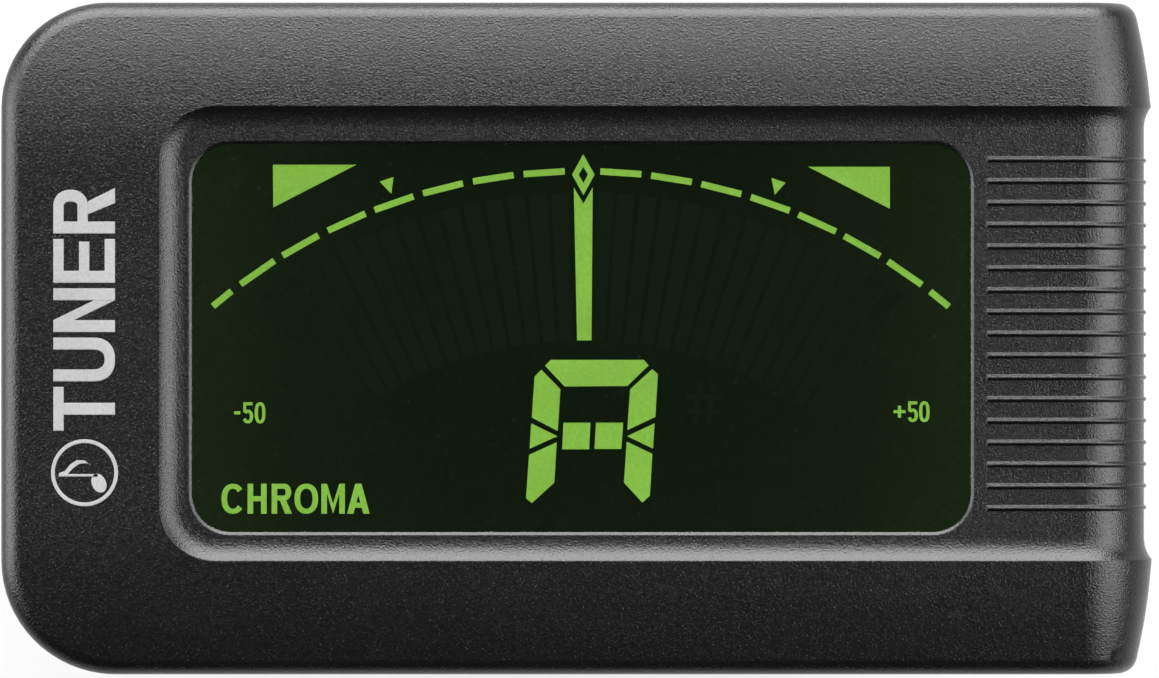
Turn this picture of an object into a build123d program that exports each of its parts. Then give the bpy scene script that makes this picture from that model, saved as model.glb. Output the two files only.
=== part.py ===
from build123d import *
import math
import os

os.makedirs("parts", exist_ok=True)

# Clip-on tuner.  Millimetres, +Z up.  The display faces up, +X is the open
# (ribbed) end of the head, and the clip lies under the head on the flat
# underside of its lower jaw (z = 0).  The head is centred on x = y = 0.

# ------------------------------------------------------------------ sizes
# head shell
HEAD_L = 60.0            # along X
HEAD_W = 34.95           # along Y
HEAD_Z0 = 27.0           # back plane
HEAD_Z1 = 38.5           # rim apex
PART_Z = 31.5            # parting plane between the two shells
R_CORNER_A = 5.47        # rounded end, +Y corner
R_CORNER_B = 5.90        # rounded end, -Y corner
CROWN_FLAT = 9.0         # half width of the flat middle of the face
CROWN_R = 34.0           # radius of the falling flanks of the face
END_X = 26.3             # where the face starts to turn down
END_R = 3.70             # radius of that turn, at the rim
TOP_FILLET = 1.0
BACK_FILLET = 1.4
WALL = 1.5

# display channel: a shallow dish whose sides blend up from the floor
FLOOR_Z = 38.0
FLOOR_X0, FLOOR_Y0, FLOOR_Y1, FLOOR_RC = -21.16, -11.08, 11.66, 2.45
SLOPE_RUN = 0.72         # run of the straight side over SLOPE_RISE
SLOPE_RISE = 0.65
BLEND_R = 1.75           # concave blend between floor and side
FLOOR_END_X = 26.3
FLOOR_END_R = 3.2
WIN_X0, WIN_X1, WIN_Y0, WIN_Y1, WIN_R = -20.08, 20.34, -10.05, 10.10, 2.0
WIN_CHAMFER = 0.15       # run of the bright edge around the window
WIN_DROP = 0.08          # its fall
CEIL_Z = 36.8            # underside of the face

# fine ribs at the open end
RIB_N = 17
RIB_PITCH = 1.1305
RIB_Y_TOP = 9.28
RIB_X0 = 21.15
RIB_H = 0.12
RIB_BASE = 0.34
RIB_TOP = 0.08

# swivel (about Z) and tilt (about X) neck
TILT_Z = 21.5
TILT_PIN_R = 1.5
EYE_R = 4.2
EYE_HALF = 3.9
EAR_IN, EAR_OUT = 4.0, 7.0
DISC_R = 6.5
DISC_Z0, DISC_Z1 = 26.1, 27.55
RECESS_R, RECESS_Z = 6.7, 27.6
SPIGOT_R, BORE_R = 3.0, 3.05
BOSS_R, BOSS_Z = 5.2, 29.8
SPIGOT_Z = 29.85

# clip
PIN_X, PIN_Z, PIN_R = 5.0, 8.5, 1.25
PIN_HALF = 10.75
LUG_R = 3.6
UP_LUG_Y0, UP_LUG_Y1 = 5.0, 7.8
LO_LUG_Y0, LO_LUG_Y1 = 7.9, 10.8
RUN = 0.04               # radial running fit
JAW_T = 2.4
PAD_X0, PAD_X1, PAD_HALF = -25.0, -10.0, 8.6
PAD_LO_Z, PAD_UP_Z = 3.8, 4.8
SPRING_WIRE, SPRING_R, SPRING_HALF = 0.5, 2.3, 4.3

# battery bay
CELL_X, CELL_R, CELL_T = -18.3, 10.0, 3.2
CELL_Z0 = 28.25
BAY_R = 10.25
COVER_X1 = -7.6
COVER_HALF = 10.8
COVER_Z1 = 28.2
TONGUE_HALF = 11.8
TONGUE_Z0 = 27.6

# buttons on the back: name, x, y, half length, half width
BUTTONS = [("power_button", 13.6, 6.8, 2.9, 2.9), ("mode_button", 22.0, 6.8, 2.9, 2.1),
           ("flat_button", 13.6, -6.8, 2.9, 2.1), ("pitch_button", 22.0, -6.8, 2.9, 2.1)]
BUTTON_PROUD = 0.45
POSTS = [(-25.5, 14.0), (-25.5, -14.0), (25.4, 14.0), (25.4, -14.0)]
STANDOFFS = [(9.4, 14.1), (9.4, -14.1), (-4.4, 14.1), (-4.4, -14.1)]
PCB_Z0, PCB_Z1 = 31.9, 32.7

BOT = (Align.CENTER, Align.CENTER, Align.MIN)


# ---------------------------------------------------------------- helpers
def poly(pts, radii):
    """Closed polygon face with one corner radius per point."""
    return make_face(FilletPolyline(*pts, radius=radii, close=True))


def slab(face, z0, z1):
    """Face drawn in XY, between two heights."""
    return extrude(Pos(0, 0, z0) * face, amount=z1 - z0)


def xz(face, y0, y1):
    """Face drawn in (x, z), from y0 to y1."""
    return extrude(Plane.XZ.offset(-y0) * face, amount=-(y1 - y0))


def yz(face, x0, x1):
    """Face drawn in (y, z), from x0 to x1."""
    return extrude(Plane.YZ.offset(x0) * face, amount=x1 - x0)


def cyl_z(x, y, r, z0, z1):
    return Pos(x, y, z0) * Cylinder(r, z1 - z0, align=BOT)


def cyl_x(x0, x1, y, z, r):
    return Pos(x0, y, z) * Rot(0, 90, 0) * Cylinder(r, x1 - x0, align=BOT)


def cyl_y(x, y0, y1, z, r):
    return Pos(x, y0, z) * Rot(-90, 0, 0) * Cylinder(r, y1 - y0, align=BOT)


def box(x0, x1, y0, y1, z0, z1):
    return Pos((x0 + x1) / 2, (y0 + y1) / 2, (z0 + z1) / 2) * Box(x1 - x0, y1 - y0, z1 - z0)


def mirror_y(shape):
    return mirror(shape, about=Plane.XZ)


def soften(shape, edges, *radii):
    """Largest of the given fillets that the edges take."""
    for r in radii:
        try:
            out = fillet(edges, r)
            if out.is_valid and out.volume > 0:
                return out
        except Exception:
            continue
    print("fillet skipped")
    return shape


def solid_of(shape):
    """Largest single solid of a result."""
    return max(shape.solids(), key=lambda s: s.volume)


def save(name, shape):
    solids = shape.solids() if not isinstance(shape, Solid) else [shape]
    out = solids[0] if len(solids) == 1 else Compound(children=[s for s in solids])
    out.label = name
    export_step(out, f"parts/{name}.step")
    bb = out.bounding_box()
    print(f"{name:24s} solids {len(solids)} vol {sum(s.volume for s in solids):9.2f} "
          f"valid {all(s.is_valid for s in solids)} "
          f"x {bb.min.X:7.2f} {bb.max.X:7.2f} y {bb.min.Y:7.2f} {bb.max.Y:7.2f} z {bb.min.Z:6.2f} {bb.max.Z:6.2f}")


# ------------------------------------------------------------- head shell
half_w = HEAD_W / 2


def crown_z(y):
    d = max(0.0, abs(y) - CROWN_FLAT)
    return HEAD_Z1 - (CROWN_R - math.sqrt(CROWN_R ** 2 - d * d))


def crown_face(z_low):
    w, f = half_w, CROWN_FLAT
    mid = (w + f) / 2
    return make_face([
        Line((-w, z_low), (w, z_low)),
        Line((w, z_low), (w, crown_z(w))),
        ThreePointArc((w, crown_z(w)), (mid, crown_z(mid)), (f, HEAD_Z1)),
        Line((f, HEAD_Z1), (-f, HEAD_Z1)),
        ThreePointArc((-f, HEAD_Z1), (-mid, crown_z(mid)), (-w, crown_z(w))),
        Line((-w, crown_z(w)), (-w, z_low)),
    ])


def turn_down(face, x, z):
    """Revolve a (y, z) face standing at x by 90 degrees about a Y axis at (x, z)."""
    return revolve(Plane.YZ.offset(x) * face, axis=Axis((x, 0, z), (0, 1, 0)), revolution_arc=90)


end_z = HEAD_Z1 - END_R
run_part = yz(crown_face(HEAD_Z0), -HEAD_L / 2, END_X)
turn_part = turn_down(crown_face(end_z), END_X, end_z)
turn_foot = [f for f in turn_part.faces() if abs(f.center().Z - end_z) < 1e-4 and abs(f.normal_at().Z) > 0.99][0]
end_part = extrude(turn_foot, amount=end_z - HEAD_Z0, dir=(0, 0, -1))
head = run_part + turn_part + end_part
plan = poly([(-HEAD_L / 2, half_w), (40, half_w), (40, -half_w), (-HEAD_L / 2, -half_w)],
            [R_CORNER_A, 0.0, 0.0, R_CORNER_B])
head = solid_of(head & slab(plan, HEAD_Z0, HEAD_Z1 + 1))

# back edge, then the rim edge and the two corners of the open end
back_edges = [e for e in head.edges() if e.bounding_box().max.Z < HEAD_Z0 + 1e-3]
head = soften(head, back_edges, BACK_FILLET, 1.2, 1.0)
rim_edges = []
for e in head.edges():
    b = e.bounding_box()
    c = e.center()
    on_side = abs(abs(c.Y) - half_w) < 1e-3 and b.max.Y - b.min.Y < 1e-3
    if on_side and b.min.Z > PART_Z:
        rim_edges.append(e)
    elif b.min.Z > 36.5 and c.X < -24 and b.max.X < -23:
        rim_edges.append(e)
    elif c.X > 28.5 and abs(c.Y) > half_w - 0.5 and b.max.Z - b.min.Z > 2:
        rim_edges.append(e)
head = soften(head, rim_edges, TOP_FILLET, 0.9, 0.8, 0.6)
head = solid_of(head)

# sunk display channel, open at the +X end; it follows the turned-down end
# and runs on down the end wall
floor_cz = FLOOR_Z - FLOOR_END_R


def channel_plan(out):
    x0, y0, y1 = FLOOR_X0 - out, FLOOR_Y0 - out, FLOOR_Y1 + out
    r = FLOOR_RC + 0.8 * out
    return poly([(x0, y1), (FLOOR_END_X, y1), (FLOOR_END_X, y0), (x0, y0)], [r, 0.0, 0.0, r])


channel = solid_of(loft([Pos(0, 0, FLOOR_Z) * channel_plan(0), Pos(0, 0, FLOOR_Z + SLOPE_RISE) * channel_plan(SLOPE_RUN)],
                        ruled=True))
foot_edges = [e for e in channel.edges() if e.bounding_box().max.Z < FLOOR_Z + 1e-3 and e.bounding_box().min.X < FLOOR_END_X - 0.1]
channel = solid_of(soften(channel, foot_edges, BLEND_R, 1.7, 1.5, 1.2, 1.0))
channel_end = [f for f in channel.faces() if abs(f.center().X - FLOOR_END_X) < 1e-4][0]
channel_turn = revolve(channel_end, axis=Axis((FLOOR_END_X, 0, floor_cz), (0, 1, 0)), revolution_arc=90)
turn_end = [f for f in channel_turn.faces() if abs(f.center().Z - floor_cz) < 1e-4 and abs(f.normal_at().Z) > 0.99][0]
notch = extrude(turn_end, amount=floor_cz - HEAD_Z0 + 1, dir=(0, 0, -1))
channel = channel + channel_turn
head_cut = head - channel - notch
head_cut = solid_of(head_cut)

front = head_cut & box(-40, 40, -30, 30, PART_Z, 50)
rear_outer = solid_of(head_cut & box(-40, 40, -30, 30, 0, PART_Z))


def inner_plan(gap, right_x):
    """Plan of the shell moved in by gap, closed by a straight right end."""
    w = half_w - gap
    return poly([(-HEAD_L / 2 + gap, w), (right_x, w), (right_x, -w), (-HEAD_L / 2 + gap, -w)],
                [R_CORNER_A - gap, 0.8, 0.8, R_CORNER_B - gap])


# room inside the face shell: its ceiling follows the turned-down end
room = slab(inner_plan(WALL, 27.9), PART_Z - 1, CEIL_Z)
room_end = poly([(-40, 20), (-40, 50), (FLOOR_END_X - 0.5, 50), (FLOOR_END_X - 0.5, CEIL_Z), (27.9, 34.0), (27.9, 20)],
                [0, 0, 0, 0.6, 1.5, 0])
room = room & xz(room_end, -30, 30)
front = front - room - slab(inner_plan(0.78, 28.45), PART_Z - 1, PART_Z + 0.85)
for px, py in POSTS:
    front = front + cyl_z(px, py, 2.1, PART_Z + 0.02, CEIL_Z + 0.4)
# keep the bosses clear of the lip of the back shell
front = front & head_cut
for px, py in POSTS:
    front = front - cyl_z(px, py, 0.87, PART_Z - 1, 34.7)
window = poly([(WIN_X0, WIN_Y1), (WIN_X1, WIN_Y1), (WIN_X1, WIN_Y0), (WIN_X0, WIN_Y0)], [WIN_R] * 4)
front = front - slab(window, CEIL_Z - 1, FLOOR_Z + 1)
c = WIN_CHAMFER
win_wide = poly([(WIN_X0 - c, WIN_Y1 + c), (WIN_X1 + c, WIN_Y1 + c), (WIN_X1 + c, WIN_Y0 - c), (WIN_X0 - c, WIN_Y0 - c)],
                [WIN_R + c] * 4)
front = front - loft([Pos(0, 0, FLOOR_Z - WIN_DROP) * window, Pos(0, 0, FLOOR_Z) * win_wide], ruled=True)
front = solid_of(front)

# ribs
rib_faces = []
for i in range(RIB_N):
    yc = RIB_Y_TOP - i * RIB_PITCH
    rib_faces.append(make_face(Polyline((yc - RIB_BASE / 2 - 0.03, FLOOR_Z - 0.06), (yc + RIB_BASE / 2 + 0.03, FLOOR_Z - 0.06),
                                        (yc + RIB_TOP / 2, FLOOR_Z + RIB_H), (yc - RIB_TOP / 2, FLOOR_Z + RIB_H), close=True)))
ribs = None
for f in rib_faces:
    straight = yz(f, RIB_X0, FLOOR_END_X)
    bent = turn_down(f, FLOOR_END_X, floor_cz)
    foot = [g for g in bent.faces() if abs(g.center().Z - floor_cz) < 1e-4 and abs(g.normal_at().Z) > 0.99][0]
    down = extrude(foot, amount=floor_cz - PART_Z - 0.7, dir=(0, 0, -1))
    one = straight + bent + down
    # the left end slopes up from the floor
    yc = f.center().Y
    one = one - xz(make_face(Polyline((RIB_X0 - 1, FLOOR_Z), (RIB_X0 + 0.02, FLOOR_Z), (RIB_X0 + 0.3, FLOOR_Z + 1),
                                      (RIB_X0 - 1, FLOOR_Z + 1), close=True)), -20, 20)
    ribs = one if ribs is None else ribs + one
front = solid_of(front + ribs)
save("front_case", front)

# -------------------------------------------------------------- back shell
rear = rear_outer - slab(inner_plan(WALL, 27.9), HEAD_Z0 + 1.4, PART_Z + 1)
inside = slab(inner_plan(WALL - 0.02, 27.92), HEAD_Z0, PART_Z)
# locating lip
rear = rear + (slab(inner_plan(0.83, 28.4), PART_Z - 1.0, PART_Z + 0.8) - slab(inner_plan(WALL, 27.9), PART_Z - 2, PART_Z + 2))
for px, py in POSTS:
    rear = rear - cyl_z(px, py, 2.15, PART_Z, PART_Z + 2)
# battery bay shelf, swivel boss, posts, standoffs
shelf = box(-29.0, -6.9, -13.2, 13.2, HEAD_Z0 + 1.0, 29.4) & slab(inner_plan(WALL - 0.3, 27.9), HEAD_Z0, PART_Z)
rear = rear + shelf + cyl_z(0, 0, BOSS_R, HEAD_Z0 + 0.5, BOSS_Z)
for px, py in POSTS:
    rear = rear + cyl_z(px, py, 2.1, HEAD_Z0 + 1.2, PART_Z)
for px, py in STANDOFFS:
    rear = rear + cyl_z(px, py, 1.1, HEAD_Z0 + 1.2, PCB_Z0)
for px, py in POSTS:
    rear = rear - cyl_z(px, py, 1.55, HEAD_Z0 - 1, 28.2) - cyl_z(px, py, 0.95, HEAD_Z0, PART_Z + 2)
rear = rear - cyl_z(0, 0, RECESS_R, HEAD_Z0 - 1, RECESS_Z) - cyl_z(0, 0, BORE_R, HEAD_Z0, BOSS_Z + 1)
# sliding cover seat, open at the rounded end
seat = box(-31, COVER_X1 + 0.1, -COVER_HALF - 0.06, COVER_HALF + 0.06, HEAD_Z0 - 1, COVER_Z1 + 0.04)
groove = box(-31, COVER_X1 - 1.3, -TONGUE_HALF - 0.06, TONGUE_HALF + 0.06, TONGUE_Z0 - 0.05, COVER_Z1 + 0.04)
rear = rear - seat - groove - cyl_z(CELL_X, 0, BAY_R, HEAD_Z0, PART_Z)
for name, bx, by, hl, hw in BUTTONS:
    hole = poly([(bx - hl - 0.08, by + hw + 0.08), (bx + hl + 0.08, by + hw + 0.08),
                 (bx + hl + 0.08, by - hw - 0.08), (bx - hl - 0.08, by - hw - 0.08)], [hw + 0.079] * 4)
    rear = rear - slab(hole, HEAD_Z0 - 1, HEAD_Z0 + 3)
# sound slots beside the neck
for i in range(3):
    y0 = 11.2 + i * 1.1
    rear = rear - slab(poly([(6.6, y0 + 0.25), (10.4, y0 + 0.25), (10.4, y0 - 0.25), (6.6, y0 - 0.25)], [0.24] * 4),
                       HEAD_Z0 - 1, HEAD_Z0 + 0.45)
rear = solid_of(rear)
save("rear_case", rear)

# ----------------------------------------------------------- battery cover
cover = box(-31, COVER_X1, -COVER_HALF, COVER_HALF, HEAD_Z0 - 1, COVER_Z1)
cover = cover + box(-31, COVER_X1 - 1.4, -TONGUE_HALF, TONGUE_HALF, TONGUE_Z0, COVER_Z1)
cover = solid_of(cover & head)
for i in range(5):
    gx = -27.6 + i * 0.95
    hw = 4.6 - 0.5 * i
    cover = cover - xz(make_face(Polyline((gx - 0.3, HEAD_Z0 - 0.1), (gx + 0.3, HEAD_Z0 - 0.1), (gx, HEAD_Z0 + 0.35), close=True)), -hw, hw)
cover = cover - slab(make_face(Polyline((-22.6, 0), (-20.4, 2.3), (-20.4, -2.3), close=True)), HEAD_Z0 - 1, HEAD_Z0 + 0.25)
ring = slab(Circle(6.0) - Circle(5.6), 0, 1.25)
cover = cover - Pos(-16.2, 0, HEAD_Z0 - 1) * ring
cross = slab(Rectangle(3.4, 0.6) + Rectangle(0.6, 3.4), 0, 1.25)
cover = cover - Pos(-16.2, 0, HEAD_Z0 - 1) * cross
save("battery_cover", solid_of(cover))

# ------------------------------------------------------------------- neck
eye = cyl_x(-EYE_HALF, EYE_HALF, 0, TILT_Z, EYE_R)
neck = box(-EYE_HALF, EYE_HALF, -3.6, 3.6, TILT_Z, DISC_Z0 + 0.1)
disc = cyl_z(0, 0, DISC_R, DISC_Z0, DISC_Z1)
disc = soften(disc, [e for e in disc.edges() if e.bounding_box().max.Z < DISC_Z0 + 0.01], 0.35)
knuckle = eye + neck + disc + cyl_z(0, 0, SPIGOT_R, DISC_Z1 - 0.2, SPIGOT_Z)
knuckle = knuckle - cyl_x(-8, 8, 0, TILT_Z, TILT_PIN_R + RUN) - cyl_z(0, 0, 1.02, 25.4, SPIGOT_Z + 1)
save("knuckle", solid_of(knuckle))
save("swivel_washer", cyl_z(0, 0, 4.6, SPIGOT_Z, SPIGOT_Z + 0.4) - cyl_z(0, 0, 1.1, SPIGOT_Z - 1, SPIGOT_Z + 1))
spring_w = cyl_z(0, 0, 2.6, SPIGOT_Z + 0.4, SPIGOT_Z + 0.85) - cyl_z(0, 0, 1.2, SPIGOT_Z, SPIGOT_Z + 2)
spring_w = spring_w - box(0, 4, -0.15, 0.15, SPIGOT_Z, SPIGOT_Z + 2)
save("swivel_spring_washer", solid_of(spring_w))
z_head = SPIGOT_Z + 0.85
s_screw = cyl_z(0, 0, 2.2, z_head, z_head + 1.05)
s_screw = soften(s_screw, [e for e in s_screw.edges() if e.bounding_box().min.Z > z_head + 1.0], 0.5)
s_screw = s_screw + cyl_z(0, 0, 1.0, 25.8, z_head + 0.2)
s_screw = s_screw - box(-1.3, 1.3, -0.25, 0.25, z_head + 0.5, z_head + 2) - box(-0.25, 0.25, -1.3, 1.3, z_head + 0.5, z_head + 2)
save("swivel_screw", solid_of(s_screw))

pin = cyl_x(-8.0, EAR_OUT + 0.02, 0, TILT_Z, TILT_PIN_R) + cyl_x(EAR_OUT, EAR_OUT + 1.1, 0, TILT_Z, 2.6)
pin = soften(pin, [e for e in pin.edges() if e.bounding_box().min.X > EAR_OUT + 1.0], 0.45)
pin = pin - (cyl_x(-7.6, -7.05, 0, TILT_Z, 3) - cyl_x(-8, -7, 0, TILT_Z, 1.1))
pin = soften(pin, [e for e in pin.edges() if e.bounding_box().max.X < -7.95], 0.25)
save("tilt_pin", solid_of(pin))
clip = cyl_x(-7.57, -7.08, 0, TILT_Z, 2.7) - cyl_x(-8, -7, 0, TILT_Z, 1.1)
clip = clip - box(-8, -7, -0.85, 0.85, TILT_Z, TILT_Z + 4) - cyl_x(-8, -7, 0, TILT_Z + 0.9, 1.15)
save("tilt_clip", solid_of(clip))

# ------------------------------------------------------------- lower jaw
plan_lo = poly([(-26, 8.9), (-9, 9.4), (0, 10.8), (12.5, 10.8), (17, 9.6), (26, 9.6),
                (26, -9.6), (17, -9.6), (12.5, -10.8), (0, -10.8), (-9, -9.4), (-26, -8.9)],
               [3.2, 8, 3, 3, 3, 5.5, 5.5, 3, 3, 3, 8, 3.2])
prof_lo = poly([(-26, 0), (26, 0), (26, 2.0), (12, 2.4), (-4, 2.4), (-26, 2.6)], [0.8, 0.8, 0.9, 3, 3, 1.2])
lower = slab(plan_lo, -1, 4) & xz(prof_lo, -12, 12)
lug_lo = poly([(1.4, 1.0), (1.4, 8.5), (8.6, 8.5), (13.4, 2.2), (13.4, 1.0)], [0, 0, 1.0, 1.5, 0])
for y0, y1 in ((LO_LUG_Y0, LO_LUG_Y1), (-LO_LUG_Y1, -LO_LUG_Y0)):
    lower = lower + (xz(lug_lo, y0, y1) & slab(plan_lo, 0, 12)) + cyl_y(PIN_X, y0, y1, PIN_Z, LUG_R)
lower = lower - cyl_y(PIN_X, -12, 12, PIN_Z, PIN_R)
pad_plan = poly([(PAD_X0, PAD_HALF - 0.6), (PAD_X1, PAD_HALF - 0.6), (PAD_X1, -PAD_HALF + 0.6), (PAD_X0, -PAD_HALF + 0.6)],
                [2.2, 1.0, 1.0, 2.2])
lower = lower - slab(pad_plan, 2.0, 4)
# spring leg seat and finger grooves under the handle
lower = lower - box(16.0, 21.2, -SPRING_HALF - 0.75, -SPRING_HALF + 0.75, 2.2, 4)
for i in range(6):
    gx = 14.6 + i * 1.75
    lower = lower - xz(make_face(Polyline((gx - 0.5, -0.1), (gx + 0.5, -0.1), (gx, 0.5), close=True)), -7.2, 7.2)
lower = solid_of(lower)
save("lower_jaw", lower)


def pad(z_back, z_face):
    """Rubber pad with grip grooves across the mouth."""
    sgn = 1 if z_face > z_back else -1
    body = slab(pad_plan, min(z_back, z_face), max(z_back, z_face))
    for i in range(7):
        gx = PAD_X0 + 2.1 + i * 1.8
        body = body - xz(make_face(Polyline((gx - 0.45, z_face + sgn * 0.05), (gx + 0.45, z_face + sgn * 0.05),
                                            (gx, z_face - sgn * 0.6), close=True)), -12, 12)
    return solid_of(body)


save("lower_pad", pad(2.0, PAD_LO_Z))
jaw_pin = cyl_y(PIN_X, -PIN_HALF, PIN_HALF, PIN_Z, PIN_R)
jaw_pin = soften(jaw_pin, [e for e in jaw_pin.edges() if abs(abs(e.center().Y) - PIN_HALF) < 1e-3], 0.3)
save("jaw_pin", jaw_pin)

# ------------------------------------------------------------- upper jaw
plan_up = poly([(-26, 8.9), (-9, 9.4), (-5.5, 9.6), (11, 9.6), (15, 9.2), (26, 9.2),
                (26, -9.2), (15, -9.2), (11, -9.6), (-5.5, -9.6), (-9, -9.4), (-26, -8.9)],
               [3.2, 3, 3, 3, 3, 5.0, 5.0, 3, 3, 3, 3, 3.2])
prof_up = poly([(-26, 6.0), (-9.3, 6.2), (-5.2, 13.6), (12, 13.6), (26, 16.5),
                (26, 18.5), (11.6, 16.0), (-6.7, 16.0), (-10.9, 8.6), (-26, 8.4)],
               [1.2, 1.5, 2.2, 6.0, 0.8, 0.9, 8.0, 3.5, 2.0, 0.9])
upper = slab(plan_up, 0, 20) & xz(prof_up, -12, 12)
for y0, y1 in ((UP_LUG_Y0, UP_LUG_Y1), (-UP_LUG_Y1, -UP_LUG_Y0)):
    lug = xz(poly([(PIN_X - LUG_R, PIN_Z), (PIN_X - LUG_R, 14.2), (10.4, 14.2), (PIN_X + LUG_R, 10.5), (PIN_X + LUG_R, PIN_Z)],
                  [0, 0, 0, 1.0, 0]), y0, y1)
    upper = upper + lug + cyl_y(PIN_X, y0, y1, PIN_Z, LUG_R)
# tilt ears on a raised foot
foot = poly([(-8.4, 6.9), (8.4, 6.9), (8.4, -6.9), (-8.4, -6.9)], [1.6] * 4)
upper = upper + slab(foot, 15.5, 16.7)
ear = poly([(-6.3, 15.6), (-EYE_R, TILT_Z - 0.4), (-EYE_R, TILT_Z), (EYE_R, TILT_Z), (EYE_R, TILT_Z - 0.4), (6.3, 15.6)],
           [0, 2, 0, 0, 2, 0])
for x0, x1 in ((EAR_IN, EAR_OUT), (-EAR_OUT, -EAR_IN)):
    upper = upper + yz(ear, x0, x1) + cyl_x(x0, x1, 0, TILT_Z, EYE_R)
upper = upper - cyl_x(-10, 10, 0, TILT_Z, TILT_PIN_R)
upper = upper - cyl_x(-EAR_IN, EAR_IN, 0, TILT_Z, EYE_R + 0.5)
upper = upper - cyl_y(PIN_X, -12, 12, PIN_Z, PIN_R + RUN)
upper = upper - slab(pad_plan, 5, 6.6)
for i in range(6):
    gx = 15.6 + i * 1.6
    gz = 16.0 + (gx - 11.6) * 2.5 / 14.4
    upper = upper - xz(make_face(Polyline((gx - 0.5, gz + 0.15), (gx + 0.5, gz + 0.35), (gx + 0.05, gz - 0.45), close=True)), -7.4, 7.4)
# spring leg seat
upper = upper - box(16.0, 21.2, SPRING_HALF - 0.75, SPRING_HALF + 0.75, 12, 15.3)
upper = solid_of(upper)
save("upper_jaw", upper)
save("upper_pad", pad(6.6, PAD_UP_Z))

# ----------------------------------------------------------- jaw spring
# legs leave the coil tangentially towards the two handles
LEG_X = 20.4
lo_a = math.radians(12.0)
up_a = math.radians(14.2)
turns = 7 + (180 - math.degrees(lo_a) - math.degrees(up_a)) / 360
helix = Edge.make_helix(2 * SPRING_HALF / turns, 2 * SPRING_HALF, SPRING_R)
coil = sweep(Plane(origin=helix.position_at(0), z_dir=helix.tangent_at(0)) * Circle(SPRING_WIRE), path=helix, is_frenet=True)
coil = Pos(PIN_X, -SPRING_HALF, PIN_Z) * Rot(-90, 0, 0) * Rot(0, 0, 90 + math.degrees(lo_a)) * coil


def rod(p, q, r):
    p, q = Vector(*p), Vector(*q)
    return Plane(origin=p, z_dir=(q - p)) * Cylinder(r, (q - p).length, align=BOT)


lo_s = (PIN_X - SPRING_R * math.sin(lo_a), -SPRING_HALF, PIN_Z - SPRING_R * math.cos(lo_a))
lo_e = (LEG_X, -SPRING_HALF, lo_s[2] - (LEG_X - lo_s[0]) * math.tan(lo_a))
up_s = (PIN_X - SPRING_R * math.sin(up_a), SPRING_HALF, PIN_Z + SPRING_R * math.cos(up_a))
up_e = (LEG_X, SPRING_HALF, up_s[2] + (LEG_X - up_s[0]) * math.tan(up_a))
print("spring legs", lo_s, lo_e, up_s, up_e)
wire = [solid_of(coil)]
for p, q in ((lo_s, lo_e), (up_s, up_e)):
    wire.append(solid_of(rod(p, q, SPRING_WIRE) + Pos(*q) * Sphere(SPRING_WIRE)))
spring = Compound(children=wire)
save("jaw_spring", spring)

# ---------------------------------------------------------- window and LCD
gap = 0.08
lens_top = FLOOR_Z - 0.16
lens_mid = poly([(WIN_X0 + gap, WIN_Y1 - gap), (WIN_X1 - gap, WIN_Y1 - gap), (WIN_X1 - gap, WIN_Y0 + gap),
                 (WIN_X0 + gap, WIN_Y0 + gap)], [WIN_R - gap] * 4)
cx, cy = (WIN_X0 + WIN_X1) / 2, (WIN_Y0 + WIN_Y1) / 2
flange = Pos(cx, cy) * RectangleRounded(43.2, 22.9, 2.4)
lens = slab(flange, CEIL_Z - 0.8, CEIL_Z) + slab(lens_mid, CEIL_Z - 0.1, lens_top)
save("window_lens", solid_of(lens))
LCD_TOP = CEIL_Z - 0.9
panel = box(cx - 21.3, cx + 21.3, cy - 11.0, cy + 11.0, LCD_TOP - 0.5, LCD_TOP)
panel = panel + box(cx - 21.3, cx + 21.3, cy - 9.5, cy + 11.0, LCD_TOP - 1.0, LCD_TOP - 0.4)
save("lcd_panel", solid_of(panel))
save("lcd_backlight", solid_of(box(cx - 21.2, cx + 21.2, cy - 9.4, cy + 10.9, PCB_Z1, LCD_TOP - 1.0)
                               + box(cx + 21.1, cx + 21.34, cy - 3, cy + 3, PCB_Z1, LCD_TOP - 1.2)))
save("zebra_strip", box(cx - 20, cx + 20, cy - 10.9, cy - 9.8, PCB_Z1, LCD_TOP - 0.5))
frame_face = Pos(cx, cy) * (RectangleRounded(45.2, 24.6, 1.0) - Rectangle(42.7, 22.1))
frame = slab(frame_face, PCB_Z1, CEIL_Z - 0.8)
for sx in (-1, 1):
    frame = frame - box(cx + sx * 21.3 - 0.9, cx + sx * 21.3 + 0.9, cy - 3.1, cy + 3.1, PCB_Z1 - 1, PCB_Z1 + 1.5)
save("lcd_frame", solid_of(frame))

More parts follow.
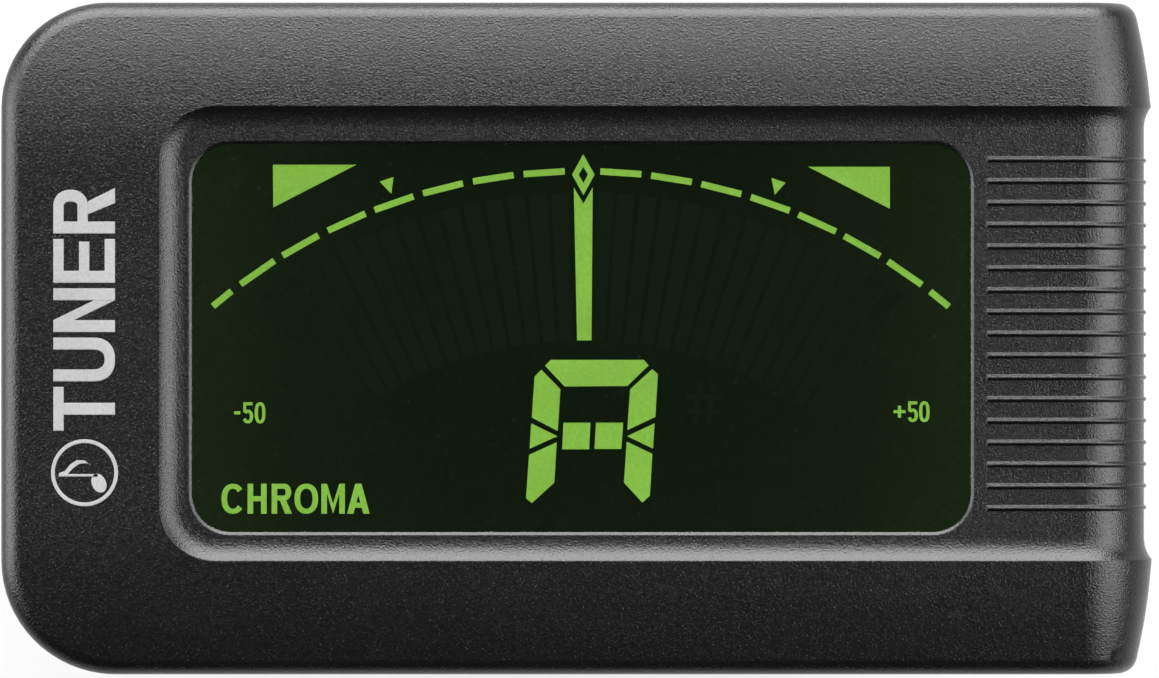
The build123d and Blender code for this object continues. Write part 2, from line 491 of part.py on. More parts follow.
# ------------------------------------------------------------ electronics
board = slab(inner_plan(2.2, 27.0), PCB_Z0, PCB_Z1)
for px, py in POSTS:
    board = board - cyl_z(px, py, 2.35, PCB_Z0 - 1, PCB_Z1 + 1)
    board = board - box(min(px, px * 1.2), max(px, px * 1.2), min(py - 0 * py, py * 1.3), max(py, py * 1.3), PCB_Z0 - 1, PCB_Z1 + 1)
save("circuit_board", solid_of(board))
chips = [box(15.0, 20.6, -2.8, 2.8, PCB_Z0 - 0.9, PCB_Z0), box(23.0, 26.2, -1.0, 1.0, PCB_Z0 - 0.8, PCB_Z0),
         box(8.6, 9.8, -4.4, -2.0, PCB_Z0 - 0.7, PCB_Z0), box(8.6, 9.8, 2.0, 4.4, PCB_Z0 - 0.7, PCB_Z0),
         box(10.9, 11.7, -1.7, -0.1, PCB_Z0 - 0.5, PCB_Z0), box(10.9, 11.7, 0.5, 2.1, PCB_Z0 - 0.5, PCB_Z0),
         box(12.4, 13.2, -1.7, -0.1, PCB_Z0 - 0.5, PCB_Z0), box(12.4, 13.2, 0.5, 2.1, PCB_Z0 - 0.5, PCB_Z0),
         box(17.0, 18.6, 12.0, 12.8, PCB_Z0 - 0.5, PCB_Z0), box(19.6, 21.2, 12.0, 12.8, PCB_Z0 - 0.5, PCB_Z0),
         box(17.0, 18.6, -12.8, -12.0, PCB_Z0 - 0.5, PCB_Z0), cyl_z(20.2, -12.2, 1.3, PCB_Z0 - 2.4, PCB_Z0)]
save("board_components", Compound(children=[solid_of(c) for c in chips]))
switches = []
for name, bx, by, hl, hw in BUTTONS:
    switches.append(solid_of(box(bx - 1.8, bx + 1.8, by - 1.8, by + 1.8, PCB_Z0 - 1.0, PCB_Z0)
                             + cyl_z(bx, by, 0.9, PCB_Z0 - 1.4, PCB_Z0 - 0.9)))
save("tact_switches", Compound(children=switches))

# -------------------------------------------------------------- buttons
for name, bx, by, hl, hw in BUTTONS:
    cap = poly([(bx - hl, by + hw), (bx + hl, by + hw), (bx + hl, by - hw), (bx - hl, by - hw)], [hw - 0.001] * 4)
    rim = poly([(bx - hl - 0.6, by + hw + 0.6), (bx + hl + 0.6, by + hw + 0.6), (bx + hl + 0.6, by - hw - 0.6),
                (bx - hl - 0.6, by - hw - 0.6)], [hw + 0.599] * 4)
    b = slab(cap, HEAD_Z0 - BUTTON_PROUD, HEAD_Z0 + 1.6)
    b = soften(b, [e for e in b.edges() if e.bounding_box().max.Z < HEAD_Z0 - BUTTON_PROUD + 0.01], 0.3, 0.2)
    b = b + slab(rim, HEAD_Z0 + 1.5, HEAD_Z0 + 2.0) + cyl_z(bx, by, 1.0, HEAD_Z0 + 1.9, PCB_Z0 - 1.95)
    save(name, solid_of(b))

# -------------------------------------------------------------- battery
cell = cyl_z(CELL_X, 0, CELL_R, CELL_Z0, CELL_Z0 + CELL_T - 0.2) + cyl_z(CELL_X, 0, CELL_R - 1.2, CELL_Z0, CELL_Z0 + CELL_T)
cell = soften(cell, [e for e in cell.edges() if e.bounding_box().max.Z < CELL_Z0 + 0.01], 0.5, 0.3)
save("battery_cell", solid_of(cell))
plus = box(CELL_X - 3.5, CELL_X + 3.5, CELL_R + 0.02, CELL_R + 0.32, 29.5, PCB_Z0)
plus = plus + box(CELL_X - 3.5, CELL_X + 3.5, CELL_R + 0.02, CELL_R + 2.0, PCB_Z0 - 0.3, PCB_Z0)
save("battery_contact_plus", solid_of(plus))
minus = box(CELL_X - 6.0, CELL_X - 2.5, -1.6, 1.6, PCB_Z0 - 0.2, PCB_Z0)
minus = minus + box(CELL_X - 2.6, CELL_X + 4.0, -1.2, 1.2, PCB_Z0 - 0.42, PCB_Z0 - 0.22) \
    + box(CELL_X - 2.9, CELL_X - 2.5, -1.2, 1.2, PCB_Z0 - 0.42, PCB_Z0)
save("battery_contact_minus", solid_of(minus))

# ----------------------------------------------------- pickup and screws
PZ = (2.0, 11.3)
piezo = cyl_z(PZ[0], PZ[1], 4.4, HEAD_Z0 + 1.4, HEAD_Z0 + 1.6) + cyl_z(PZ[0], PZ[1], 3.1, HEAD_Z0 + 1.5, HEAD_Z0 + 1.85)
save("piezo_disc", solid_of(piezo))
leads = []
for sx in (1, -1):
    x0 = PZ[0] + sx * 3.6
    leads.append(solid_of(rod((x0, PZ[1], HEAD_Z0 + 1.75), (x0 + 0.7, PZ[1] + 1.5, PCB_Z0 - 0.22), 0.28)))
save("piezo_leads", Compound(children=leads))
screws = []
for px, py in POSTS:
    s = cyl_z(px, py, 1.45, HEAD_Z0 + 0.25, 28.2)
    s = soften(s, [e for e in s.edges() if e.bounding_box().max.Z < HEAD_Z0 + 0.3], 0.35)
    s = s + cyl_z(px, py, 0.85, 28.1, 34.2)
    s = s - box(px - 0.95, px + 0.95, py - 0.18, py + 0.18, HEAD_Z0, HEAD_Z0 + 0.75) \
        - box(px - 0.18, px + 0.18, py - 0.95, py + 0.95, HEAD_Z0, HEAD_Z0 + 0.75)
    screws.append(solid_of(s))
save("case_screws", Compound(children=screws))
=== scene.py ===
import math

import bmesh
import bpy
from mathutils import Matrix, Vector


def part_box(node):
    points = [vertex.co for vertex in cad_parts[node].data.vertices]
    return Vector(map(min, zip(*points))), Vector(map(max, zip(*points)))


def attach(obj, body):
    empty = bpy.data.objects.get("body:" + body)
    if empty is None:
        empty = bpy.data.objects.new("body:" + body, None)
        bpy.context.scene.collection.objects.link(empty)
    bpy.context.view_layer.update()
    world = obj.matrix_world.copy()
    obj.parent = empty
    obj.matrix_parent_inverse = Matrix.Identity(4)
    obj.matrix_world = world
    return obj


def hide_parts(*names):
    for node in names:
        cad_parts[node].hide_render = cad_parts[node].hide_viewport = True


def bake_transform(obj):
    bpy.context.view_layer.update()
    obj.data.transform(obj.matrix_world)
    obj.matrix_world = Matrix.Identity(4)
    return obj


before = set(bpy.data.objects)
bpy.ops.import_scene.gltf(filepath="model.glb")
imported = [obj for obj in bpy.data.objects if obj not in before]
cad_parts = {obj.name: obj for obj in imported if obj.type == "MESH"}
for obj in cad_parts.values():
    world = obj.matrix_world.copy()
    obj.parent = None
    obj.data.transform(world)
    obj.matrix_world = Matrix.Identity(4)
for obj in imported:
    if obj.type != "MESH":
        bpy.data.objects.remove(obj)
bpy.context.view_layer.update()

MM = 0.001
SEAL = 0.00012        # how far display pieces stand above the panel glass

# ---------------------------------------------------------------- display
# outlines in millimetres, in the frame's own x and y
NOTE = [[(-1.469, -1.114), (3.378, -1.114), (3.629, -1.407), (2.52, -2.473), (-0.743, -2.5), (-1.757, -1.422)],
        [(-1.956, -1.631), (-0.962, -2.646), (-1.103, -4.816), (-2.452, -4.115), (-2.306, -1.982)],
        [(-2.484, -4.419), (-1.119, -5.083), (-2.568, -5.736)],
        [(-1.156, -5.402), (-1.281, -7.504), (-2.452, -8.571), (-2.751, -8.314), (-2.594, -6.055)],
        [(-0.805, -4.387), (0.601, -4.387), (0.528, -5.768), (-0.868, -5.768)],
        [(0.889, -4.387), (2.301, -4.387), (2.207, -5.752), (0.811, -5.752)],
        [(3.807, -1.6), (4.105, -1.851), (3.979, -4.084), (2.52, -4.769), (2.662, -2.646)],
        [(3.938, -4.419), (3.854, -5.736), (2.51, -5.083)],
        [(2.489, -5.37), (3.822, -6.003), (3.692, -8.189), (3.3, -8.539), (2.343, -7.504)]]
ARROWS = [[(-15.923, 9.036), (-11.577, 9.036), (-15.902, 6.819)],
          [(11.922, 8.931), (16.179, 8.931), (16.179, 6.746)],
          [(-10.369, 8.163), (-9.643, 8.403), (-9.763, 7.53)],
          [(10.019, 8.346), (10.751, 8.105), (10.192, 7.467)]]
NEEDLE = [(-0.267, 7.859), (0.235, 7.017), (0.716, 7.859), (0.654, -0.105), (-0.094, -0.105)]
DIA_OUT = [(0.225, 9.585), (0.816, 8.523), (0.235, 7.457), (-0.361, 8.523)]
DIA_IN = [(0.225, 8.931), (0.471, 8.523), (0.235, 8.084), (-0.01, 8.523)]
DASHES = [(-18.558, 2.071), (-16.728, 3.43), (-14.485, 4.837), (-12.085, 6.055), (-9.622, 7.038), (-7.075, 7.807),
          (-4.455, 8.335), (-1.809, 8.623), (2.181, 8.618), (4.816, 8.309), (7.41, 7.77), (9.956, 7.002),
          (12.398, 6.003), (14.736, 4.806), (16.963, 3.399), (18.762, 2.05)]
ARC_C, ARC_R = (0.157, -20.958), 29.649
DASH_T, DASH_LONG, DASH_SHORT = 0.34, 2.144, 1.255


# ---------------------------------------------------------------- helpers
def link(mesh, name, mat):
    o = bpy.data.objects.new(name, mesh)
    bpy.context.scene.collection.objects.link(o)
    o.data.materials.clear()
    o.data.materials.append(mat)
    return o


def plates(name, polys, z, t, mat):
    """Thin closed plates from outlines in mm; an outline may be a pair (outer, hole)."""
    bm = bmesh.new()
    for poly in polys:
        if isinstance(poly[0][0], (tuple, list)):
            outer, hole = poly
            n = len(outer)
            rings = []
            for zz in (z, z + t):
                rings.append(([bm.verts.new((x * MM, y * MM, zz)) for x, y in outer],
                              [bm.verts.new((x * MM, y * MM, zz)) for x, y in hole]))
            for i in range(n):
                j = (i + 1) % n
                (ob, hb), (ot, ht) = rings
                bm.faces.new((ot[i], ot[j], ht[j], ht[i]))
                bm.faces.new((ob[i], hb[i], hb[j], ob[j]))
                bm.faces.new((ob[i], ob[j], ot[j], ot[i]))
                bm.faces.new((hb[i], ht[i], ht[j], hb[j]))
        else:
            lo = [bm.verts.new((x * MM, y * MM, z)) for x, y in poly]
            hi = [bm.verts.new((x * MM, y * MM, z + t)) for x, y in poly]
            bm.faces.new(hi)
            bm.faces.new(list(reversed(lo)))
            n = len(poly)
            for i in range(n):
                j = (i + 1) % n
                bm.faces.new((lo[i], lo[j], hi[j], hi[i]))
    bmesh.ops.recalc_face_normals(bm, faces=bm.faces)
    me = bpy.data.meshes.new(name)
    bm.to_mesh(me)
    bm.free()
    return link(me, name, mat)


def bar(x, y, ang, length, thick):
    """Outline of a short bar centred on (x, y), turned by ang."""
    c, s = math.cos(ang), math.sin(ang)
    out = []
    for u, v in ((-length / 2, -thick / 2), (length / 2, -thick / 2), (length / 2, thick / 2), (-length / 2, thick / 2)):
        out.append((x + u * c - v * s, y + u * s + v * c))
    return out


def oval(cx, cy, rx, ry, a0, a1, n=28, e=2.35):
    """Points on a slightly squared oval between two angles (degrees)."""
    out = []
    for i in range(n + 1):
        a = math.radians(a0 + (a1 - a0) * i / n)
        c, q = math.cos(a), math.sin(a)
        out.append((cx + rx * math.copysign(abs(c) ** (2 / e), c), cy + ry * math.copysign(abs(q) ** (2 / e), q)))
    return out


def glyph(ch, x0, x1, y0, y1, s, b):
    """Plain bold letter or figure filling a box: s is the stem, b the bar width (mm)."""
    w, h = x1 - x0, y1 - y0
    cx, cy = (x0 + x1) / 2, (y0 + y1) / 2

    def rect(ax, ay, bx, by):
        return [(ax, ay), (bx, ay), (bx, by), (ax, by)]

    if ch == "-":
        return [rect(x0, cy - b / 2, x1, cy + b / 2)]
    if ch == "+":
        return [rect(x0, cy - b / 2, cx - s / 2, cy + b / 2), rect(cx + s / 2, cy - b / 2, x1, cy + b / 2),
                rect(cx - s / 2, cy - w / 2, cx + s / 2, cy + w / 2)]
    if ch == "H":
        return [rect(x0, y0, x0 + s, y1), rect(x1 - s, y0, x1, y1), rect(x0 + s, cy - b / 2, x1 - s, cy + b / 2)]
    if ch == "T":
        return [rect(x0, y1 - b, x1, y1), rect(cx - s / 2, y0, cx + s / 2, y1 - b)]
    if ch == "E":
        return [rect(x0, y0, x0 + s, y1), rect(x0 + s, y0, x1, y0 + b), rect(x0 + s, y1 - b, x1, y1),
                rect(x0 + s, cy - b / 2, x1 - 0.06 * w, cy + b / 2)]
    if ch == "N":
        k = 1.75 * s
        return [rect(x0, y0, x0 + s, y1), rect(x1 - s, y0, x1, y1),
                [(x0 + s, y1), (x0 + s, y1 - k), (x1 - s, y0), (x1 - s, y0 + k)]]
    if ch == "M":
        k = 1.75 * s
        return [rect(x0, y0, x0 + s, y1), rect(x1 - s, y0, x1, y1),
                [(x0 + s, y1), (x0 + s, y1 - k), (cx, y0), (cx, y0 + k)], [(x1 - s, y1), (cx, y0 + k), (cx, y0), (x1 - s, y1 - k)]]
    if ch == "A":
        t, sl = 0.56 * s, 1.12 * s
        g = (cx - t - x0) / h
        yq = y0 + (cx - x0 - sl) / g
        ya, yb = y0 + 0.20 * h, y0 + 0.20 * h + b
        left = [(x0, y0), (x0 + sl, y0), (cx, yq), (cx, y1), (cx - t, y1)]
        right = [(2 * cx - x, y) for x, y in left]
        bar_ = [(x0 + sl + g * (ya - y0), ya), (x1 - sl - g * (ya - y0), ya), (x1 - sl - g * (yb - y0), yb), (x0 + sl + g * (yb - y0), yb)]
        return [left, right, bar_]
    if ch in "O0":
        e = 2.5 if ch == "0" else 2.25
        return [(oval(cx, cy, w / 2, h / 2, 0, 360, 44, e)[:-1], oval(cx, cy, w / 2 - s, h / 2 - b, 0, 360, 44, e)[:-1])]
    if ch == "C":
        return [oval(cx, cy, w / 2, h / 2, 38, 322, 36, 2.25) + oval(cx, cy, w / 2 - s, h / 2 - b, 322, 38, 36, 2.25)]
    if ch == "R":
        ym, xa = y0 + 0.44 * h, x1 - 0.36 * w
        r, rx = (y1 - ym) / 2, x1 - xa
        bowl = [(x0 + s, y1)] + oval(xa, ym + r, rx, r, 90, -90, 18, 2.1) + [(x0 + s, ym), (x0 + s, ym + b)] \
            + oval(xa, ym + r, rx - s, r - b, -90, 90, 18, 2.1) + [(x0 + s, y1 - b)]
        return [rect(x0, y0, x0 + s, y1), bowl, [(xa - 0.75 * s, ym), (xa + 0.35 * s, ym), (x1 + 0.04 * w, y0), (x1 - 1.12 * s, y0)]]
    if ch == "U":
        yc = y0 + 0.36 * h
        return [[(x0, y1)] + oval(cx, yc, w / 2, yc - y0, 180, 360, 24) + [(x1, y1), (x1 - s, y1)]
                + oval(cx, yc, w / 2 - s, yc - y0 - b, 360, 180, 24) + [(x0 + s, y1)]]
    if ch == "5":
        yb_ = y0 + 0.325 * h
        xs = x0 + 0.07 * w
        return [rect(xs, y1 - b, x1 - 0.06 * w, y1), rect(xs, y0 + 0.52 * h, xs + 0.85 * s, y1 - b),
                oval(cx, yb_, w / 2, 0.325 * h, 140, -158, 26, 2.2) + oval(cx, yb_, w / 2 - s, 0.325 * h - b, -158, 140, 26, 2.2)]
    return []


# -------------------------------------------------------------- materials
def new_mat(name):
    m = bpy.data.materials.new(name)
    m.use_nodes = True
    nt = m.node_tree
    nt.nodes.clear()
    out = nt.nodes.new("ShaderNodeOutputMaterial")
    bsdf = nt.nodes.new("ShaderNodeBsdfPrincipled")
    nt.links.new(bsdf.outputs["BSDF"], out.inputs["Surface"])
    return m, nt, bsdf


def coords(nt, scale=(1, 1, 1)):
    tc = nt.nodes.new("ShaderNodeTexCoord")
    mp = nt.nodes.new("ShaderNodeMapping")
    mp.inputs["Scale"].default_value = scale
    nt.links.new(tc.outputs["Object"], mp.inputs["Vector"])
    return mp.outputs["Vector"]


def noise(nt, vec, scale, detail=2.0, rough=0.5, distort=0.0):
    n = nt.nodes.new("ShaderNodeTexNoise")
    n.inputs["Scale"].default_value = scale
    n.inputs["Detail"].default_value = detail
    n.inputs["Roughness"].default_value = rough
    n.inputs["Distortion"].default_value = distort
    nt.links.new(vec, n.inputs["Vector"])
    return n.outputs["Fac"]


def span(nt, fac, lo, hi, a=0.3, b=0.7):
    r = nt.nodes.new("ShaderNodeMapRange")
    r.inputs["From Min"].default_value = a
    r.inputs["From Max"].default_value = b
    r.inputs["To Min"].default_value = lo
    r.inputs["To Max"].default_value = hi
    nt.links.new(fac, r.inputs["Value"])
    return r.outputs["Result"]


def ramp(nt, fac, stops):
    r = nt.nodes.new("ShaderNodeValToRGB")
    el = r.color_ramp.elements
    while len(el) < len(stops):
        el.new(0.5)
    for e, (p, c) in zip(el, stops):
        e.position = p
        e.color = (*c, 1.0)
    nt.links.new(fac, r.inputs["Fac"])
    return r.outputs["Color"]


def mixc(nt, fac, a, b, mode="MIX"):
    m = nt.nodes.new("ShaderNodeMix")
    m.data_type = "RGBA"
    m.blend_type = mode
    if isinstance(fac, float):
        m.inputs[0].default_value = fac
    else:
        nt.links.new(fac, m.inputs[0])
    for sock, v in ((m.inputs[6], a), (m.inputs[7], b)):
        if isinstance(v, tuple):
            sock.default_value = (*v, 1.0)
        else:
            nt.links.new(v, sock)
    return m.outputs[2]


def math_node(nt, op, a, b):
    m = nt.nodes.new("ShaderNodeMath")
    m.operation = op
    for i, v in enumerate((a, b)):
        if isinstance(v, (int, float)):
            m.inputs[i].default_value = v
        else:
            nt.links.new(v, m.inputs[i])
    return m.outputs[0]


def edge_wear(nt, radius):
    """1 on convex and concave edges, 0 on open faces, with the rounded normal."""
    bev = nt.nodes.new("ShaderNodeBevel")
    bev.samples = 4
    bev.inputs["Radius"].default_value = radius
    geo = nt.nodes.new("ShaderNodeNewGeometry")
    dot = nt.nodes.new("ShaderNodeVectorMath")
    dot.operation = "DOT_PRODUCT"
    nt.links.new(bev.outputs["Normal"], dot.inputs[0])
    nt.links.new(geo.outputs["Normal"], dot.inputs[1])
    wear = span(nt, dot.outputs["Value"], 1.0, 0.0, 0.80, 0.995)
    return bev.outputs["Normal"], wear


def bump(nt, height, distance, strength=1.0, normal=None):
    b = nt.nodes.new("ShaderNodeBump")
    b.inputs["Distance"].default_value = distance
    b.inputs["Strength"].default_value = strength
    nt.links.new(height, b.inputs["Height"])
    if normal is not None:
        nt.links.new(normal, b.inputs["Normal"])
    return b.outputs["Normal"]


def plastic(name, color, rough=(0.36, 0.46), grain=7200, depth=0.000010, edge=0.00008, spec=0.5, mottle=0.12, wear_to=1.9, speck=0.28):
    """Moulded plastic: fine spark-eroded grain, faint cloudy colour, polished edges."""
    m, nt, b = new_mat(name)
    v = coords(nt)
    fine = noise(nt, v, grain, 1.5, 0.55)
    cloud = noise(nt, v, 160, 3.0, 0.5)
    lo = tuple(c * (1 - mottle) for c in color)
    hi = tuple(c * (1 + mottle) for c in color)
    base = ramp(nt, cloud, [(0.32, lo), (0.68, hi)])
    dots = ramp(nt, fine, [(0.35, (1 - speck,) * 3), (0.65, (1 + speck,) * 3)])
    base = mixc(nt, 1.0, base, dots, "MULTIPLY")
    nrm, wear = edge_wear(nt, edge)
    base = mixc(nt, math_node(nt, "MULTIPLY", wear, 0.35), base, tuple(c * wear_to for c in color))
    nt.links.new(base, b.inputs["Base Color"])
    r = span(nt, fine, rough[0], rough[1])
    r = math_node(nt, "SUBTRACT", r, math_node(nt, "MULTIPLY", wear, 0.06))
    nt.links.new(r, b.inputs["Roughness"])
    b.inputs["Specular IOR Level"].default_value = spec
    nt.links.new(bump(nt, fine, depth, 1.0, nrm), b.inputs["Normal"])
    return m


def metal(name, color, rough=(0.22, 0.38), axis=(1, 1, 1), lines=2600, depth=0.000004, edge=0.00012):
    """Drawn or turned metal: fine lines along one way, faint stains, bright edges."""
    m, nt, b = new_mat(name)
    v = coords(nt, axis)
    fine = noise(nt, v, lines, 3.0, 0.6)
    stain = noise(nt, coords(nt), 300, 3.0, 0.5)
    base = ramp(nt, stain, [(0.3, tuple(c * 0.82 for c in color)), (0.7, tuple(min(1.0, c * 1.08) for c in color))])
    nrm, wear = edge_wear(nt, edge)
    base = mixc(nt, math_node(nt, "MULTIPLY", wear, 0.4), base, tuple(min(1.0, c * 1.25) for c in color))
    nt.links.new(base, b.inputs["Base Color"])
    b.inputs["Metallic"].default_value = 1.0
    nt.links.new(span(nt, fine, rough[0], rough[1]), b.inputs["Roughness"])
    nt.links.new(bump(nt, fine, depth, 1.0, nrm), b.inputs["Normal"])
    return m


def rubber(name, color, rough=(0.62, 0.78), grain=4200, depth=0.000016):
    m, nt, b = new_mat(name)
    v = coords(nt)
    fine = noise(nt, v, grain, 3.0, 0.65)
    dust = noise(nt, v, 420, 4.0, 0.6)
    base = ramp(nt, dust, [(0.35, color), (0.75, tuple(c * 1.7 + 0.0008 for c in color))])
    nrm, wear = edge_wear(nt, 0.0002)
    base = mixc(nt, math_node(nt, "MULTIPLY", wear, 0.3), base, tuple(c * 2.2 for c in color))
    nt.links.new(base, b.inputs["Base Color"])
    nt.links.new(span(nt, fine, rough[0], rough[1]), b.inputs["Roughness"])
    b.inputs["Specular IOR Level"].default_value = 0.35
    nt.links.new(bump(nt, fine, depth, 1.0, nrm), b.inputs["Normal"])
    return m


def lens_material(name):
    """Clear moulded acrylic window, faint haze."""
    m, nt, b = new_mat(name)
    v = coords(nt)
    haze = noise(nt, v, 900, 2.0, 0.5)
    nt.links.new(ramp(nt, haze, [(0.3, (0.93, 0.96, 0.93)), (0.7, (0.97, 0.99, 0.97))]), b.inputs["Base Color"])
    nt.links.new(span(nt, haze, 0.004, 0.010), b.inputs["Roughness"])
    b.inputs["IOR"].default_value = 1.46
    b.inputs["Transmission Weight"].default_value = 1.0
    b.inputs["Specular IOR Level"].default_value = 0.5
    return m


def lcd_material(name):
    """Dark green glass of a negative display, a little lighter towards its lit edges."""
    m, nt, b = new_mat(name)
    tc = nt.nodes.new("ShaderNodeTexCoord")
    sep = nt.nodes.new("ShaderNodeSeparateXYZ")
    nt.links.new(tc.outputs["Object"], sep.inputs["Vector"])
    ax = math_node(nt, "ABSOLUTE", math_node(nt, "MULTIPLY", sep.outputs["X"], 1 / 0.0203), 0)
    low = math_node(nt, "MULTIPLY", sep.outputs["Y"], -1 / 0.0102)
    side = math_node(nt, "POWER", ax, 3.0)
    base = math_node(nt, "POWER", math_node(nt, "MAXIMUM", low, 0.0), 3.0)
    glow = math_node(nt, "ADD", math_node(nt, "MULTIPLY", side, 0.75), math_node(nt, "MULTIPLY", base, 0.15))
    grain = noise(nt, coords(nt), 3500, 2.0, 0.5)
    glow = math_node(nt, "ADD", glow, span(nt, grain, -0.12, 0.12))
    col = ramp(nt, glow, [(0.0, (0.0032, 0.0084, 0.0026)), (1.0, (0.0100, 0.0190, 0.0066))])
    nt.links.new(col, b.inputs["Emission Color"])
    b.inputs["Emission Strength"].default_value = 1.0
    nt.links.new(mixc(nt, 1.0, col, (0.08, 0.08, 0.08), "MULTIPLY"), b.inputs["Base Color"])
    nt.links.new(span(nt, grain, 0.20, 0.28), b.inputs["Roughness"])
    b.inputs["Specular IOR Level"].default_value = 0.03
    return m


def lit_material(name, a, c, strength=1.0, spec=0.1):
    """A lit or unlit display segment: even light with a fine dot grain."""
    m, nt, b = new_mat(name)
    v = coords(nt)
    grain = noise(nt, v, 5200, 2.0, 0.5)
    cloud = noise(nt, v, 220, 2.0, 0.5)
    col = ramp(nt, grain, [(0.3, a), (0.7, c)])
    col = mixc(nt, 1.0, col, ramp(nt, cloud, [(0.3, (0.94, 0.94, 0.94)), (0.7, (1.05, 1.05, 1.05))]), "MULTIPLY")
    nt.links.new(col, b.inputs["Emission Color"])
    b.inputs["Emission Strength"].default_value = strength
    nt.links.new(mixc(nt, 1.0, col, (0.06, 0.06, 0.06), "MULTIPLY"), b.inputs["Base Color"])
    nt.links.new(span(nt, grain, 0.35, 0.5), b.inputs["Roughness"])
    b.inputs["Specular IOR Level"].default_value = spec
    return m


def board_material(name):
    m, nt, b = new_mat(name)
    v = coords(nt)
    br = nt.nodes.new("ShaderNodeTexBrick")
    br.inputs["Scale"].default_value = 420
    br.inputs["Mortar Size"].default_value = 0.05
    br.offset = 0.35
    br.inputs["Color1"].default_value = (0.003, 0.026, 0.010, 1)
    br.inputs["Color2"].default_value = (0.004, 0.030, 0.012, 1)
    br.inputs["Mortar"].default_value = (0.009, 0.048, 0.021, 1)
    nt.links.new(v, br.inputs["Vector"])
    weave = noise(nt, v, 2600, 3.0, 0.6)
    nt.links.new(mixc(nt, span(nt, weave, 0.0, 0.25), br.outputs["Color"], (0.006, 0.036, 0.015)), b.inputs["Base Color"])
    nt.links.new(span(nt, weave, 0.22, 0.36), b.inputs["Roughness"])
    nt.links.new(bump(nt, br.outputs["Fac"], 0.00002), b.inputs["Normal"])
    return m


def floor_material(name):
    m, nt, b = new_mat(name)
    v = coords(nt)
    n = noise(nt, v, 60, 4.0, 0.5)
    col = ramp(nt, n, [(0.3, (0.85, 0.85, 0.85)), (0.7, (0.88, 0.88, 0.88))])
    nt.links.new(mixc(nt, 1.0, col, (0.085, 0.085, 0.085), "MULTIPLY"), b.inputs["Base Color"])
    nt.links.new(col, b.inputs["Emission Color"])
    b.inputs["Emission Strength"].default_value = 0.84
    nt.links.new(span(nt, n, 0.55, 0.65), b.inputs["Roughness"])
    return m


shell = plastic("shell_grain", (0.0019, 0.0019, 0.0020), rough=(0.21, 0.28), grain=11500, depth=0.0000310, spec=0.36)
clip_p = plastic("clip_satin", (0.0060, 0.0060, 0.0063), rough=(0.34, 0.46), grain=5200, depth=0.000014)
neck_p = plastic("neck_acetal", (0.0075, 0.0075, 0.0080), rough=(0.26, 0.36), grain=3200, depth=0.000006)
cover_p = plastic("cover_grain", (0.0024, 0.0024, 0.0025), rough=(0.24, 0.32), grain=10500, depth=0.000022, spec=0.36)
chip_p = plastic("chip_epoxy", (0.006, 0.006, 0.0065), rough=(0.45, 0.6), grain=6000, depth=0.000006)
frame_w = plastic("frame_white", (0.15, 0.15, 0.145), rough=(0.4, 0.5), grain=5000, depth=0.000006, wear_to=1.15)
guide_p = plastic("guide_acrylic", (0.17, 0.18, 0.17), rough=(0.12, 0.2), grain=3000, depth=0.000003, wear_to=1.1)
pad_r = rubber("pad_rubber", (0.0045, 0.0045, 0.0048))
key_r = rubber("key_rubber", (0.0085, 0.0087, 0.0095), rough=(0.5, 0.64), grain=6400, depth=0.000010)
zebra_r = rubber("zebra_rubber", (0.03, 0.03, 0.03))
lead_r = rubber("lead_sleeve", (0.09, 0.006, 0.006), rough=(0.35, 0.5))
pin_m = metal("pin_turned", (0.17, 0.17, 0.175), axis=(0.08, 1, 1))
jaw_m = metal("jaw_pin_turned", (0.17, 0.17, 0.175), axis=(1, 0.08, 1))
wire_m = metal("spring_wire", (0.16, 0.16, 0.165), rough=(0.16, 0.30), axis=(1, 0.3, 1))
plate_m = metal("washer_plate", (0.17, 0.168, 0.16), rough=(0.26, 0.42))
black_m = metal("screw_black", (0.03, 0.03, 0.032), rough=(0.32, 0.5))
cell_m = metal("cell_can", (0.19, 0.19, 0.187), rough=(0.22, 0.36), axis=(1, 0.05, 1))
brass_m = metal("piezo_brass", (0.20, 0.15, 0.07), rough=(0.3, 0.46))
nickel_m = metal("contact_nickel", (0.18, 0.17, 0.15), rough=(0.24, 0.38))
lens_g = lens_material("window_acrylic")
lcd_g = lcd_material("display_glass")
board_p = board_material("board_mask")
lit = lit_material("segment_lit", (0.200, 0.430, 0.048), (0.240, 0.490, 0.062))
ghost = lit_material("segment_off", (0.0049, 0.0104, 0.0040), (0.0054, 0.0110, 0.0045), 1.0, 0.0)
print_w = plastic("print_white", (0.140, 0.140, 0.142), rough=(0.45, 0.6), grain=7600, depth=0.000004, wear_to=1.05, speck=0.05)
mark_d = plastic("key_mark", (0.10, 0.10, 0.10), rough=(0.45, 0.6), grain=6000, depth=0.000004, wear_to=1.05)

NODE_MATS = {
    "front_case": shell, "rear_case": shell, "battery_cover": cover_p,
    "lower_jaw": clip_p, "upper_jaw": clip_p, "lower_pad": pad_r, "upper_pad": pad_r,
    "knuckle": neck_p, "jaw_pin": jaw_m, "jaw_spring": wire_m, "tilt_pin": pin_m, "tilt_clip": plate_m,
    "swivel_washer": plate_m, "swivel_spring_washer": wire_m, "swivel_screw": pin_m, "case_screws": black_m,
    "window_lens": lens_g, "lcd_panel": lcd_g, "lcd_backlight": guide_p, "lcd_frame": frame_w, "zebra_strip": zebra_r,
    "circuit_board": board_p, "board_components": chip_p, "tact_switches": plate_m, "battery_cell": cell_m,
    "battery_contact_plus": nickel_m, "battery_contact_minus": nickel_m, "piezo_disc": brass_m, "piezo_leads": lead_r,
    "power_button": key_r, "mode_button": key_r, "flat_button": key_r, "pitch_button": key_r,
}
for name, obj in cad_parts.items():
    mat = NODE_MATS[name]
    obj.data.materials.clear()
    obj.data.materials.append(mat)

